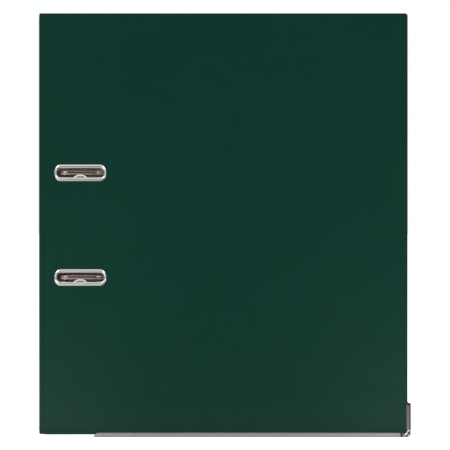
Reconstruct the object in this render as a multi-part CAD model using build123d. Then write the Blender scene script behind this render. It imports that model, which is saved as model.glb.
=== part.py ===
from build123d import *
import math
import os

# Lever arch file, standing closed on the steel rails of its covers. Millimetres.
# +X runs from the spine to the free edge, -Y is the front cover, +Z is up.

# Case
COVER_W = 282.0        # outer face of the spine to the free edge of the board
COVER_H = 322.0
CASE_T = 75.0          # over both covers
BOARD = 2.0
FILM = 0.3             # covering film, also the paper lining
PANEL = BOARD + 2 * FILM
CORNER_R = 2.3         # free corners of the covers
EDGE_R = 0.9           # rounding of the wrapped edges
MARGIN = 5.0           # film turned in round the lining
FOLD_R = 1.5           # rounding of the two folds
SPINE_END = 3.2        # face of a cover to the end of the spine board
GROOVE = 6.0           # face of the spine to the board of a cover

# Steel rails under the covers
RAIL_T = 0.5
RAIL_DROP = 2.1        # rail below the cover's edge
RAIL_LAP = 1.7         # rail up the cover's face
RAIL_REACH = 2.5       # rail beyond the free edge
RAIL_LEG_LAP = 0.9
RAIL_START = 42.0      # from the face of the spine
RAIL_LEG_H = 27.5
RAIL_R = 3.2
RAIL_NOTCH = 1.0

# Slots of the front cover
SLOT_L = 36.2
SLOT_W = 7.0
SLOT_R = 2.9
SLOT_U = 31.7          # from the face of the spine to the middle of a slot
EYELET_WALL = 0.5
EYELET_SIDE = 2.75     # rim above and below the opening
EYELET_END = 1.7       # rim beyond its two ends
EYELET_PROUD = 0.7
LIP_T = 0.4
WASHER_T = 0.5
NOSE_W = 10.6
NOSE_H = 2.4
NOSE_T = 0.55
NOSE_SLIT = 6.6

# Spine fittings
RING_HOLE_R = 11.0
RING_Z = 66.0
RING_PROUD = 0.8
POCKET_W = 54.0
POCKET_H = 158.0
POCKET_Z = 128.0
POCKET_T = 0.5

# Ring mechanism: u from the spine face, v up from the back lining, w along the height
RING_SPACING = 80.0
WIRE_R = 2.2
ARM_U = 14.0
POST_U = 50.0
AXLE_V = 4.6
POST_TOP = 44.0
CROWN_POKE = 1.5       # crown of an arch inside its slot
CROWN_R = 9.0          # bends at the two ends of a crown
POST_R = 2.5
POST_BORE = 1.7
BASE_U0 = 8.0
BASE_U1 = 64.0
BASE_HALF = 86.0
BASE_T = 1.0
LUG_W = (-33.0, 25.0, 33.0)
RUN_FIT = 0.05
EYE_WALL = 0.9
BEND_R = 4.0

LEVER_W = -22.0        # lever pin
CHEEK_GAP = 0.05       # eyes of the base plate to the lever's bracket
CRANK = 10.0
ROLLER_R = 4.0
ROLLER_L = 5.0
ROLLER_GAP = 0.3
PLATE_TOP = 1.8        # top of the pressed hump over the axle
PLATE_DIP = 1.2
PLATE_LAP = 0.9        # pressure plate beyond the roller
LEVER_L = 56.0
LEVER_WALL = 1.0
LEVER_HALF = 4.2
PIN_R = 2.0
BRACKET_IN = 4.8
BRACKET_T = 1.2

CLAMP_V = 9.0
CLAMP_T = 1.2
CLAMP_U0 = 42.0
CLAMP_U1 = 58.0
CLAMP_HALF = 47.0
FORK_U0 = 8.5
FORK_IN = 35.6
LATCH_T = 0.8
LATCH_TRAVEL = 3.0

# Places that follow from the sizes above
HALF_T = CASE_T / 2
X_SPINE = -(COVER_W + RAIL_REACH + RING_PROUD) / 2 + RING_PROUD
X_FREE = X_SPINE + COVER_W
Z_LOW = RAIL_DROP
Z_TOP = RAIL_DROP + COVER_H
Z_MID = Z_TOP / 2
Y_BASE = HALF_T - PANEL
INSIDE = CASE_T - 2 * PANEL
RING_W = RING_SPACING / 2
CROWN_V = INSIDE + CROWN_POKE - WIRE_R - CROWN_R
ROLLER_V = AXLE_V + PLATE_TOP + ROLLER_GAP + ROLLER_R
PIN_V = ROLLER_V + CRANK
CLAMP_HOLE = POST_R + 0.15
EYE_R = WIRE_R + RUN_FIT + EYE_WALL
LEVER_U = ARM_U + EYE_R + CHEEK_GAP + BRACKET_IN + BRACKET_T
PLATE_U1 = LEVER_U + ROLLER_L / 2 + PLATE_LAP


def at(u, v, w):
    """A place in the mechanism as a point in the object's frame."""
    return (X_SPINE + u, Y_BASE - v, Z_MID + w)


def box(x0, x1, y0, y1, z0, z1):
    """A block between two corners."""
    middle = ((x0 + x1) / 2, (y0 + y1) / 2, (z0 + z1) / 2)
    return Pos(*middle) * Box(abs(x1 - x0), abs(y1 - y0), abs(z1 - z0))


def block(u0, u1, v0, v1, w0, w1):
    """A block in the mechanism's own directions."""
    return box(X_SPINE + u0, X_SPINE + u1, Y_BASE - v0, Y_BASE - v1, Z_MID + w0, Z_MID + w1)


def rod(start, end, radius):
    """A round bar between two points."""
    run = Vector(*end) - Vector(*start)
    return extrude(Plane(origin=start, z_dir=run) * Circle(radius), run.length)


def tube(start, end, outer, inner):
    """A round pipe between two points."""
    return rod(start, end, outer) - rod(start, end, inner)


def prism(points, along):
    """A closed outline carried along a straight line."""
    run = Vector(*along)
    return extrude(make_face(Polyline(*points, close=True)), amount=run.length, dir=run)


def hull(discs, u0, u1):
    """The plate round a pair of discs (w, v, radius), thick from u0 to u1."""
    (w0, v0, r0), (w1, v1, r1) = discs
    gap = math.hypot(w1 - w0, v1 - v0)
    lean = math.atan2(v1 - v0, w1 - w0)
    open_angle = math.acos((r0 - r1) / gap)
    outline = []
    for side in (1, -1):
        ray = (math.cos(lean + side * open_angle), math.sin(lean + side * open_angle))
        ends = [(w0 + r0 * ray[0], v0 + r0 * ray[1]), (w1 + r1 * ray[0], v1 + r1 * ray[1])]
        outline += ends if side == 1 else ends[::-1]
    solid = prism([at(u0, v, w) for w, v in outline], (u1 - u0, 0, 0))
    for w, v, r in discs:
        solid += rod(at(u0, v, w), at(u1, v, w), r)
    return solid


def slot_block(extra_l, extra_w, y0, y1, w):
    """A block through the front cover with the outline of a slot, made larger by two amounts."""
    face = Plane(origin=(X_SPINE + SLOT_U, y0, Z_MID + w), z_dir=(0, 1, 0), x_dir=(1, 0, 0))
    radius = SLOT_R + (extra_l + extra_w) / 4
    return extrude(face * RectangleRounded(SLOT_L + extra_l, SLOT_W + extra_w, radius), y1 - y0)


def save(shape, name):
    """Write one piece."""
    shape.label = name
    export_step(shape, os.path.join("parts", name + ".step"))


def straight_edges(shape, axis, test):
    """The straight edges along one axis that pass a test of their middle."""
    return [e for e in shape.edges().filter_by(axis) if test(e.center())]


# ---------------------------------------------------------------- covers

def cover_block(side, inset, depth0, depth1):
    """A slab of one cover: side -1 front, 1 back; depths from its outer face."""
    y0 = side * (HALF_T - depth0)
    y1 = side * (HALF_T - depth1)
    low = Z_LOW + inset
    high = Z_TOP - inset
    slab = box(X_SPINE + GROOVE, X_FREE - inset, min(y0, y1), max(y0, y1), low, high)
    corners = straight_edges(slab, Axis.Y, lambda c: c.X > 0)
    return fillet(corners, max(CORNER_R - inset, 0.4))


def cover_wrap(side):
    """The covering film: outer face, three edges and the turned-in margin."""
    slab = cover_block(side, 0, 0, PANEL)
    face = slab.faces().sort_by(Axis.Y)[0 if side < 0 else -1]
    keep = [e for e in face.edges() if e.center().X > X_SPINE + GROOVE + 0.1]
    slab = fillet(keep, EDGE_R)
    slab -= cover_block(side, FILM, FILM, FILM + BOARD)
    slab -= cover_block(side, MARGIN, FILM + BOARD, PANEL)
    return slab


def through_slots(shape):
    """Cut both slots of the front cover."""
    wall = 2 * EYELET_WALL
    for w in (-RING_W, RING_W):
        shape -= slot_block(wall, wall, -HALF_T - 1, -HALF_T + PANEL + 1, w)
    return shape


def base_rivet_places():
    """Where the base plate is riveted to the back cover."""
    return [(u, w) for u in (BASE_U0 + 5, BASE_U1 - 6) for w in (-BASE_HALF + 7, BASE_HALF - 7)]


def through_rivets(shape):
    """Cut the rivet holes of the base plate."""
    for u, w in base_rivet_places():
        shape -= rod(at(u, -PANEL - 1, w), at(u, BASE_T + 1, w), 2.0)
    return shape


def rail_outline():
    """The L of a rail seen from the front, as points (x, z)."""
    x0 = X_SPINE + RAIL_START
    x1 = X_FREE + RAIL_REACH
    z1 = Z_LOW + RAIL_LAP
    leg_x = X_FREE - RAIL_LEG_LAP
    return [(x0, 0), (x1, 0), (x1, RAIL_LEG_H), (leg_x, RAIL_LEG_H - 1.6), (leg_x, z1), (x0 + 2.2, z1)]


def rail(side):
    """Steel channel under one cover, turned up round its lower free corner."""
    outer_y = side * (HALF_T + RAIL_T)
    inner_y = side * (HALF_T - PANEL - RAIL_T)
    lo, hi = min(outer_y, inner_y), max(outer_y, inner_y)
    x_out = X_FREE + RAIL_REACH
    body = prism([(x, lo, z) for x, z in rail_outline()], (0, hi - lo, 0))
    corner = straight_edges(body, Axis.Y, lambda c: c.X > x_out - 0.1 and c.Z < 1)
    body = fillet(corner, RAIL_R)
    rims = body.faces().sort_by(Axis.Z)[0].edges().filter_by(Axis.X)
    body = fillet(rims, 1.0)
    hollow = box(X_SPINE, x_out - RAIL_T, lo + RAIL_T, hi - RAIL_T, RAIL_T, RAIL_LEG_H + 5)
    corner = straight_edges(hollow, Axis.Y, lambda c: c.X > 0 and c.Z < 1)
    body -= fillet(corner, RAIL_R - RAIL_T)
    notch_x = x_out - 6.8
    body -= box(notch_x - RAIL_NOTCH, notch_x, lo - 1, lo + RAIL_T, 1.4, 20)
    body -= box(notch_x - RAIL_NOTCH, notch_x, hi - RAIL_T, hi + 1, 1.4, 20)
    return body


def slot_eyelet(w):
    """Rolled steel lining of a slot: rim, barrel, clinched lip and snap nose."""
    front = -HALF_T
    back = -HALF_T + PANEL
    wall = 2 * EYELET_WALL
    rim = slot_block(2 * EYELET_END, 2 * EYELET_SIDE, front - EYELET_PROUD, front, w)
    rim = fillet(rim.faces().sort_by(Axis.Y)[0].edges(), EYELET_PROUD - 0.1)
    lip_end = back + WASHER_T + LIP_T
    rim += slot_block(wall, wall, front, lip_end, w)
    rim += slot_block(2.4, 2.4, back + WASHER_T, lip_end, w)
    rim -= slot_block(0, 0, front - 2, lip_end + 1, w)
    rim = fillet(rim.faces().sort_by(Axis.Y)[0].inner_wires()[0].edges(), 0.4)
    nose_y = front + 0.2
    x_mid = X_SPINE + SLOT_U
    z_low = Z_MID + w - SLOT_W / 2
    arc_r = (NOSE_W ** 2 / 4 + NOSE_H ** 2) / (2 * NOSE_H)
    arc_z = z_low + NOSE_H - arc_r
    nose = rod((x_mid, nose_y, arc_z), (x_mid, nose_y + NOSE_T, arc_z), arc_r)
    nose &= box(x_mid - NOSE_W, x_mid + NOSE_W, nose_y - 1, nose_y + 2, z_low - 0.3, z_low + NOSE_H)
    half = NOSE_SLIT / 2
    nose -= box(x_mid - half, x_mid + half, nose_y - 1, nose_y + 2, z_low + 0.35, z_low + 0.85)
    return rim + nose


def slot_washer(w):
    """Flat ring between the inner face of the cover and the clinched lip."""
    back = -HALF_T + PANEL
    wall = 2 * EYELET_WALL
    ring = slot_block(5.2, 5.2, back, back + WASHER_T, w)
    ring = fillet(ring.faces().sort_by(Axis.Y)[-1].edges(), 0.2)
    return ring - slot_block(wall, wall, back - 1, back + 2, w)


# ---------------------------------------------------------------- spine

def spine_block(inset_z, inset_y, depth0, depth1):
    """A slab of the spine between two depths from its outer face."""
    half = HALF_T - SPINE_END - inset_y
    return box(X_SPINE + depth0, X_SPINE + depth1, -half, half, Z_LOW + inset_z, Z_TOP - inset_z)


def through_finger_hole(shape):
    """Cut the finger hole."""
    centre0 = (X_SPINE - 3, 0, RING_Z)
    centre1 = (X_SPINE + PANEL + 3, 0, RING_Z)
    return shape - rod(centre0, centre1, RING_HOLE_R + EYELET_WALL)


def spine_wrap():
    """Covering film of the spine, turned over its two ends."""
    slab = spine_block(0, 0, 0, PANEL)
    ends = straight_edges(slab, Axis.Y, lambda c: c.X < X_SPINE + 0.1)
    slab = fillet(ends, EDGE_R)
    slab -= spine_block(FILM, -1, FILM, FILM + BOARD)
    slab -= spine_block(MARGIN, -1, FILM + BOARD, PANEL)
    return through_finger_hole(slab)


def hinge_strip(side):
    """Flexible film from the spine board round the fold to a cover's board."""
    thick = 2 * FILM
    low = Z_LOW + 0.6
    high = Z_TOP - 0.6
    face_y = side * HALF_T
    end_y = side * (HALF_T - SPINE_END)
    outer = box(X_SPINE, X_SPINE + GROOVE, min(face_y, end_y), max(face_y, end_y), low, high)
    outer = fillet(
        straight_edges(outer, Axis.Z, lambda c: c.X < X_SPINE + 0.1 and abs(c.Y) > HALF_T - 0.1), FOLD_R
    )
    in_y = side * (HALF_T - thick)
    inner = box(
        X_SPINE + thick, X_SPINE + GROOVE + 2, min(in_y, end_y - side * 3), max(in_y, end_y - side * 3), 0, 400
    )
    inner = fillet(
        straight_edges(inner, Axis.Z, lambda c: c.X < X_SPINE + 1 and abs(c.Y) > HALF_T - 1), FOLD_R - thick
    )
    return outer - inner


def finger_ring():
    """Rolled ring lining the finger hole."""
    rim = rod((X_SPINE - RING_PROUD, 0, RING_Z), (X_SPINE, 0, RING_Z), RING_HOLE_R + 3.2)
    rim = fillet(rim.faces().sort_by(Axis.X)[0].edges(), RING_PROUD - 0.1)
    end = X_SPINE + PANEL + WASHER_T + LIP_T
    rim += rod((X_SPINE, 0, RING_Z), (end, 0, RING_Z), RING_HOLE_R + EYELET_WALL)
    rim += rod((end - LIP_T, 0, RING_Z), (end, 0, RING_Z), RING_HOLE_R + 1.4)
    rim -= rod((X_SPINE - 3, 0, RING_Z), (end + 1, 0, RING_Z), RING_HOLE_R)
    return fillet(rim.faces().sort_by(Axis.X)[0].inner_wires()[0].edges(), 0.4)


def finger_ring_washer():
    """Flat ring behind the finger ring."""
    start = X_SPINE + PANEL
    ring = rod((start, 0, RING_Z), (start + WASHER_T, 0, RING_Z), RING_HOLE_R + 3.6)
    ring = fillet(ring.faces().sort_by(Axis.X)[-1].edges(), 0.2)
    return ring - rod((start - 1, 0, RING_Z), (start + 2, 0, RING_Z), RING_HOLE_R + EYELET_WALL)


def label_card():
    """Paper label inside the clear pocket."""
    half = POCKET_W / 2 - 3
    return box(X_SPINE - 0.25, X_SPINE, -half, half, POCKET_Z + 3, POCKET_Z + POCKET_H - 1)


def label_pocket():
    """Clear film pocket welded to the spine on three sides, open at the top."""
    half = POCKET_W / 2
    film = box(X_SPINE - POCKET_T, X_SPINE, -half, half, POCKET_Z, POCKET_Z + POCKET_H)
    film = fillet(straight_edges(film, Axis.X, lambda c: True), 2.0)
    film = chamfer(film.faces().sort_by(Axis.X)[0].edges(), 0.2)
    hollow = box(X_SPINE - 0.25, X_SPINE + 1, 3 - half, half - 3, POCKET_Z + 3, POCKET_Z + POCKET_H + 5)
    return film - hollow


# ---------------------------------------------------------------- mechanism on the back cover

def base_plate():
    """Stamped plate with eyes for the arches' axle and two stiffening ribs."""
    plate = block(BASE_U0, BASE_U1, 0, BASE_T, -BASE_HALF, BASE_HALF)
    plate = fillet(straight_edges(plate, Axis.Y, lambda c: True), 5.0)
    top = plate.faces().sort_by(Axis.Y)[0]
    plate = fillet(top.edges(), 0.4)
    for u in (36.5, 60.5):
        bead = rod(at(u, 0.3, -70), at(u, 0.3, 70), 1.5) & block(u - 3, u + 3, 0, 4, -80, 80)
        plate += bead
    for w in LUG_W:
        start, end = at(ARM_U, AXLE_V, w - 2), at(ARM_U, AXLE_V, w + 2)
        eye = rod(start, end, EYE_R)
        eye += block(ARM_U - 2.6, ARM_U + 2.6, BASE_T - 0.5, AXLE_V, w - 2, w + 2)
        plate += eye - rod(at(ARM_U, AXLE_V, w - 3), at(ARM_U, AXLE_V, w + 3), WIRE_R + RUN_FIT)
    for w in (-RING_W, RING_W):
        plate -= rod(at(POST_U, -1, w), at(POST_U, 3, w), POST_R)
    return through_rivets(plate)


def base_rivets():
    """Four domed rivets through the back cover and the base plate."""
    rivets = []
    for u, w in base_rivet_places():
        rivet = rod(at(u, -PANEL, w), at(u, BASE_T, w), 2.0)
        outside = rod(at(u, -PANEL - EYELET_PROUD, w), at(u, -PANEL, w), 4.6)
        rivet += fillet(outside.faces().sort_by(Axis.Y)[-1].edges(), EYELET_PROUD - 0.1)
        inside = rod(at(u, BASE_T, w), at(u, BASE_T + 0.8, w), 3.4)
        rivet += fillet(inside.faces().sort_by(Axis.Y)[0].edges(), 0.6)
        rivets.append(rivet)
    return Compound(children=rivets)


def post(w):
    """Hollow post on which the sheets are threaded, countersunk for the arch."""
    solid = tube(at(POST_U, 0, w), at(POST_U, POST_TOP, w), POST_R, POST_BORE)
    foot = tube(at(POST_U, BASE_T, w), at(POST_U, BASE_T + 0.9, w), POST_R + 1.8, POST_R)
    solid += fillet(foot.faces().sort_by(Axis.Y)[0].edges().sort_by(SortBy.LENGTH)[-1], 0.7)
    mouth = Plane(origin=at(POST_U, POST_TOP - 0.45, w), z_dir=(0, -1, 0)) * Circle(POST_BORE)
    top = Plane(origin=at(POST_U, POST_TOP, w), z_dir=(0, -1, 0)) * Circle(POST_BORE + 0.45)
    solid -= loft([mouth, top])
    rim = [e for e in solid.edges().filter_by(GeomType.CIRCLE) if abs(e.center().Y - (Y_BASE - POST_TOP)) < 0.01]
    return fillet(sorted(rim, key=lambda e: e.length)[-1], 0.2)


def lever_bracket():
    """Folded bracket: a foot and two cheeks that bridge the pressure plate."""
    w0 = LEVER_W - 11
    w1 = LEVER_W + 19
    out = BRACKET_IN + BRACKET_T
    solid = block(LEVER_U - out, LEVER_U + out, BASE_T, BASE_T + 1.2, w0, w1)
    outline = [
        (w0, BASE_T), (w0, 10.0), (LEVER_W - 5.2, PIN_V + 2.0), (LEVER_W - 3.5, PIN_V + 5.0),
        (LEVER_W + 3.5, PIN_V + 5.0), (LEVER_W + 5.5, PIN_V + 2.0), (w1, 12.0), (w1, BASE_T),
        (LEVER_W + 15, BASE_T), (LEVER_W + 15, 9.5), (LEVER_W + 13, 11.8), (LEVER_W - 4.5, 11.8),
        (LEVER_W - 6.5, 9.5), (LEVER_W - 6.5, BASE_T),
    ]
    for u0 in (LEVER_U - out, LEVER_U + BRACKET_IN):
        cheek = prism([at(u0, v, w) for w, v in outline], (BRACKET_T, 0, 0))
        tips = straight_edges(cheek, Axis.X, lambda c: c.Y < Y_BASE - PIN_V - 1)
        solid += fillet(tips, 1.8)
    solid -= rod(at(LEVER_U - 9, PIN_V, LEVER_W), at(LEVER_U + 9, PIN_V, LEVER_W), PIN_R)
    for w in (w0 + 2.6, w1 - 2.2):
        solid -= rod(at(LEVER_U, 0, w), at(LEVER_U, 5, w), 1.2)
    return solid


def bracket_rivets():
    """Two rivets through the foot of the bracket."""
    rivets = []
    for w in (LEVER_W - 11 + 2.6, LEVER_W + 19 - 2.2):
        rivet = rod(at(LEVER_U, BASE_T, w), at(LEVER_U, BASE_T + 1.2, w), 1.2)
        head = rod(at(LEVER_U, BASE_T + 1.2, w), at(LEVER_U, BASE_T + 1.9, w), 2.1)
        rivets.append(rivet + fillet(head.faces().sort_by(Axis.Y)[0].edges(), 0.5))
    return Compound(children=rivets)


def lever_pin():
    """Riveted pin of the lever, with a domed head on each side."""
    out = BRACKET_IN + BRACKET_T
    pin = rod(at(LEVER_U - out, PIN_V, LEVER_W), at(LEVER_U + out, PIN_V, LEVER_W), PIN_R)
    for side in (-1, 1):
        start = LEVER_U + side * out
        head = rod(at(start, PIN_V, LEVER_W), at(start + side * 0.8, PIN_V, LEVER_W), PIN_R + 1.0)
        pin += fillet(head.faces().sort_by(Axis.X)[-1 if side > 0 else 0].edges(), 0.6)
    return pin


# ---------------------------------------------------------------- arches

def arch_wire():
    """One bent wire: two arches joined by the axle they turn on."""
    bend_v = AXLE_V + BEND_R
    foot_w = RING_W - BEND_R
    tip_v = POST_TOP + 0.15
    near = BEND_R * (1 - math.sqrt(0.5))
    near_crown = CROWN_R * (1 - math.sqrt(0.5))
    solid = rod(at(ARM_U, AXLE_V, -foot_w), at(ARM_U, AXLE_V, foot_w), WIRE_R)
    for side in (-1, 1):
        w = side * RING_W
        bend = ThreePointArc(
            at(ARM_U, AXLE_V, side * foot_w),
            at(ARM_U, AXLE_V + near, side * (RING_W - near)),
            at(ARM_U, bend_v, w),
        )
        solid += sweep(Plane(origin=bend @ 0, z_dir=bend % 0) * Circle(WIRE_R), path=bend)
        solid += rod(at(ARM_U, bend_v, w), at(ARM_U, CROWN_V, w), WIRE_R)
        for u0, u1 in ((ARM_U, ARM_U + CROWN_R), (POST_U, POST_U - CROWN_R)):
            lean = near_crown if u0 < u1 else -near_crown
            corner = ThreePointArc(
                at(u0, CROWN_V, w),
                at(u0 + lean, CROWN_V + CROWN_R - near_crown, w),
                at(u1, CROWN_V + CROWN_R, w),
            )
            solid += sweep(Plane(origin=corner @ 0, z_dir=corner % 0) * Circle(WIRE_R), path=corner)
        top_v = CROWN_V + CROWN_R
        solid += rod(at(ARM_U + CROWN_R, top_v, w), at(POST_U - CROWN_R, top_v, w), WIRE_R)
        solid += rod(at(POST_U, CROWN_V, w), at(POST_U, tip_v, w), WIRE_R)
        wide = Plane(origin=at(POST_U, tip_v, w), z_dir=(0, 1, 0)) * Circle(1.55)
        narrow = Plane(origin=at(POST_U, tip_v - 1.0, w), z_dir=(0, 1, 0)) * Circle(0.35)
        solid += loft([wide, narrow])
    return solid


def pressure_plate():
    """Plate welded to the axle: sleeve, pressed hump under the roller, spring finger."""
    w0 = LEVER_W - 5
    w1 = LEVER_W + 12
    low = AXLE_V + PLATE_TOP - PLATE_DIP
    high = AXLE_V + PLATE_TOP
    top = [(w0, low), (LEVER_W - 4, low), (LEVER_W - 2.5, high), (LEVER_W - 1, high), (LEVER_W + 1.2, low), (w1, low)]
    bottom = [(w, v - 1.0) for w, v in top]
    plate = prism([at(ARM_U, v, w) for w, v in top + bottom[::-1]], (PLATE_U1 - ARM_U, 0, 0))
    plate += rod(at(ARM_U, AXLE_V, w0), at(ARM_U, AXLE_V, w1), WIRE_R + 0.8)
    plate += block(LEVER_U - 2.8, LEVER_U + 1.2, low - 1.0, low, w1 - 2, 8.0)
    return plate - rod(at(ARM_U, AXLE_V, w0 - 1), at(ARM_U, AXLE_V, w1 + 1), WIRE_R)


def opening_spring():
    """Torsion spring round the axle that throws the arches open."""
    mean_r = 2.9
    wire = 0.45
    w0 = 7.2
    turns = 8
    pitch = 1.15
    path = Helix(pitch=pitch, height=pitch * turns, radius=mean_r)
    place = Plane(origin=at(ARM_U, AXLE_V, w0), x_dir=(0, 1, 0), z_dir=(0, 0, 1))
    coil = place * path
    solid = sweep(Plane(origin=coil @ 0, z_dir=coil % 0) * Circle(wire), path=coil, is_frenet=True)
    first = Vector(*at(ARM_U, AXLE_V - mean_r, w0))
    last = Vector(*at(ARM_U, AXLE_V - mean_r, w0 + pitch * turns))
    solid += Pos(*first) * Sphere(wire) + Pos(*last) * Sphere(wire)
    solid += rod(tuple(first), at(ARM_U + 8, 3.4, w0), wire)
    solid += rod(tuple(last), at(ARM_U + 9, AXLE_V - mean_r, w0 + pitch * turns), wire)
    return solid


# ---------------------------------------------------------------- lever

def lever_discs(shrink):
    """The two rounds that shape the lever from the side."""
    return [(LEVER_W, PIN_V, 4.6 - shrink), (LEVER_W + LEVER_L - 6, PIN_V - 4.5, 2.8 - shrink)]


def lever_arm():
    """Folded steel lever: channel arm with two crank lobes for the roller."""
    u0 = LEVER_U - LEVER_HALF
    u1 = LEVER_U + LEVER_HALF
    solid = hull(lever_discs(0), u0, u1)
    pocket = hull(lever_discs(0), u0 + LEVER_WALL, u1 - LEVER_WALL)
    for drop in (LEVER_WALL, 4.0):
        solid -= Pos(0, drop, 0) * pocket
    solid -= block(u0 + LEVER_WALL, u1 - LEVER_WALL, 0, 40, LEVER_W - 10, LEVER_W + 5.5)
    for start in (u0, u1 - LEVER_WALL):
        solid += hull([(LEVER_W, PIN_V, 4.6), (LEVER_W, ROLLER_V, 3.2)], start, start + LEVER_WALL)
    solid -= rod(at(u0 - 1, PIN_V, LEVER_W), at(u1 + 1, PIN_V, LEVER_W), PIN_R + RUN_FIT)
    solid -= rod(at(u0 - 1, ROLLER_V, LEVER_W), at(u1 + 1, ROLLER_V, LEVER_W), 1.2)
    return solid


def lever_grip():
    """Moulded grip over the end of the lever, ridged for the thumb."""
    w0 = LEVER_W + 22
    w1 = LEVER_W + LEVER_L
    outline = [
        (w0, 23.6), (w1 - 8, 21.2), (w1, 22.4), (w1, 19.0), (w1 - 3, 13.2), (w0 + 4, 13.4), (w0, 15.0),
    ]
    half = LEVER_HALF + 1.4
    solid = prism([at(LEVER_U - half, v, w) for w, v in outline], (2 * half, 0, 0))
    solid = fillet(straight_edges(solid, Axis.X, lambda c: True), 1.1)
    solid = fillet(solid.faces().sort_by(Axis.X)[0].edges() + solid.faces().sort_by(Axis.X)[-1].edges(), 0.8)
    for step in range(5):
        w = w1 - 12 - 3 * step
        v = 21.2 + (w1 - 8 - w) * 2.4 / 26
        solid += rod(at(LEVER_U - 3.6, v - 0.25, w), at(LEVER_U + 3.6, v - 0.25, w), 0.7)
    return solid - hull(lever_discs(0), LEVER_U - LEVER_HALF, LEVER_U + LEVER_HALF)


def pressure_roller():
    """Barrel roller that holds the arches shut."""
    start = at(LEVER_U - ROLLER_L / 2, ROLLER_V, LEVER_W)
    end = at(LEVER_U + ROLLER_L / 2, ROLLER_V, LEVER_W)
    roller = fillet(rod(start, end, ROLLER_R).edges().filter_by(GeomType.CIRCLE), 0.6)
    return roller - rod(start, end, 1.2 + RUN_FIT)


def roller_pin():
    """Pin of the roller, peened flush in the lever."""
    start = at(LEVER_U - LEVER_HALF, ROLLER_V, LEVER_W)
    return rod(start, at(LEVER_U + LEVER_HALF, ROLLER_V, LEVER_W), 1.2)


# ---------------------------------------------------------------- paper clamp

def stud_places():
    """Shouldered studs that guide the latch, as w."""
    return (-RING_W + 11, -RING_W + 18)


def compressor_bar():
    """Pressed bar that slides down the posts and forks round the arms."""
    v0 = CLAMP_V
    v1 = CLAMP_V + CLAMP_T
    bar = block(CLAMP_U0, CLAMP_U1, v0, v1, -CLAMP_HALF, CLAMP_HALF)
    for side in (-1, 1):
        bar += block(FORK_U0, CLAMP_U1, v0, v1, side * FORK_IN, side * CLAMP_HALF)
    bar = fillet(straight_edges(bar, Axis.Y, lambda c: True), 1.5)
    for side in (-1, 1):
        w = side * RING_W
        slot = block(FORK_U0 - 3, ARM_U, v0 - 1, v1 + 1, w - WIRE_R - 0.8, w + WIRE_R + 0.8)
        slot += rod(at(ARM_U, v0 - 1, w), at(ARM_U, v1 + 1, w), WIRE_R + 0.8)
        bar -= slot
        bar -= rod(at(POST_U, v0 - 1, w), at(POST_U, v1 + 1, w), CLAMP_HOLE)
    for u in (CLAMP_U0 + 0.6, CLAMP_U1 - 0.6):
        bar += block(u - 0.6, u + 0.6, v1 - 0.2, v1 + 1.4, -FORK_IN + 4, FORK_IN - 4)
    return bar


def latch_rivets():
    """Headed studs on the bar on which the latch slides."""
    studs = []
    v1 = CLAMP_V + CLAMP_T
    for w in stud_places():
        stud = rod(at(POST_U, v1, w), at(POST_U, v1 + LATCH_T + 0.15, w), 1.0)
        head = rod(at(POST_U, v1 + LATCH_T + 0.15, w), at(POST_U, v1 + LATCH_T + 0.85, w), 2.0)
        studs.append(stud + fillet(head.faces().sort_by(Axis.Y)[0].edges(), 0.4))
    return Compound(children=studs)


def compressor_latch():
    """Sliding latch that bites on the lower post, with a thumb tab."""
    v0 = CLAMP_V + CLAMP_T + 0.05
    v1 = v0 + LATCH_T - 0.05
    plate = block(POST_U - 5, POST_U + 5, v0, v1, -RING_W - 5.2, -RING_W + 25)
    plate = fillet(straight_edges(plate, Axis.Y, lambda c: True), 2.0)
    tab = block(POST_U - 5, POST_U + 5, v0, v0 + 7, -RING_W + 24.2, -RING_W + 25)
    plate += fillet(straight_edges(tab, Axis.Z, lambda c: c.Y < Y_BASE - v0 - 5), 2.0)
    reach = POST_R + 0.3
    hole = block(POST_U - reach, POST_U + reach, v0 - 1, v1 + 1, -RING_W, -RING_W + LATCH_TRAVEL)
    for w in (-RING_W, -RING_W + LATCH_TRAVEL):
        hole += rod(at(POST_U, v0 - 1, w), at(POST_U, v1 + 1, w), reach)
    plate -= hole
    for stud in stud_places():
        plate -= block(POST_U - 1.3, POST_U + 1.3, v0 - 1, v1 + 1, stud, stud + LATCH_TRAVEL)
        for w in (stud, stud + LATCH_TRAVEL):
            plate -= rod(at(POST_U, v0 - 1, w), at(POST_U, v1 + 1, w), 1.3)
    return plate


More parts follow.
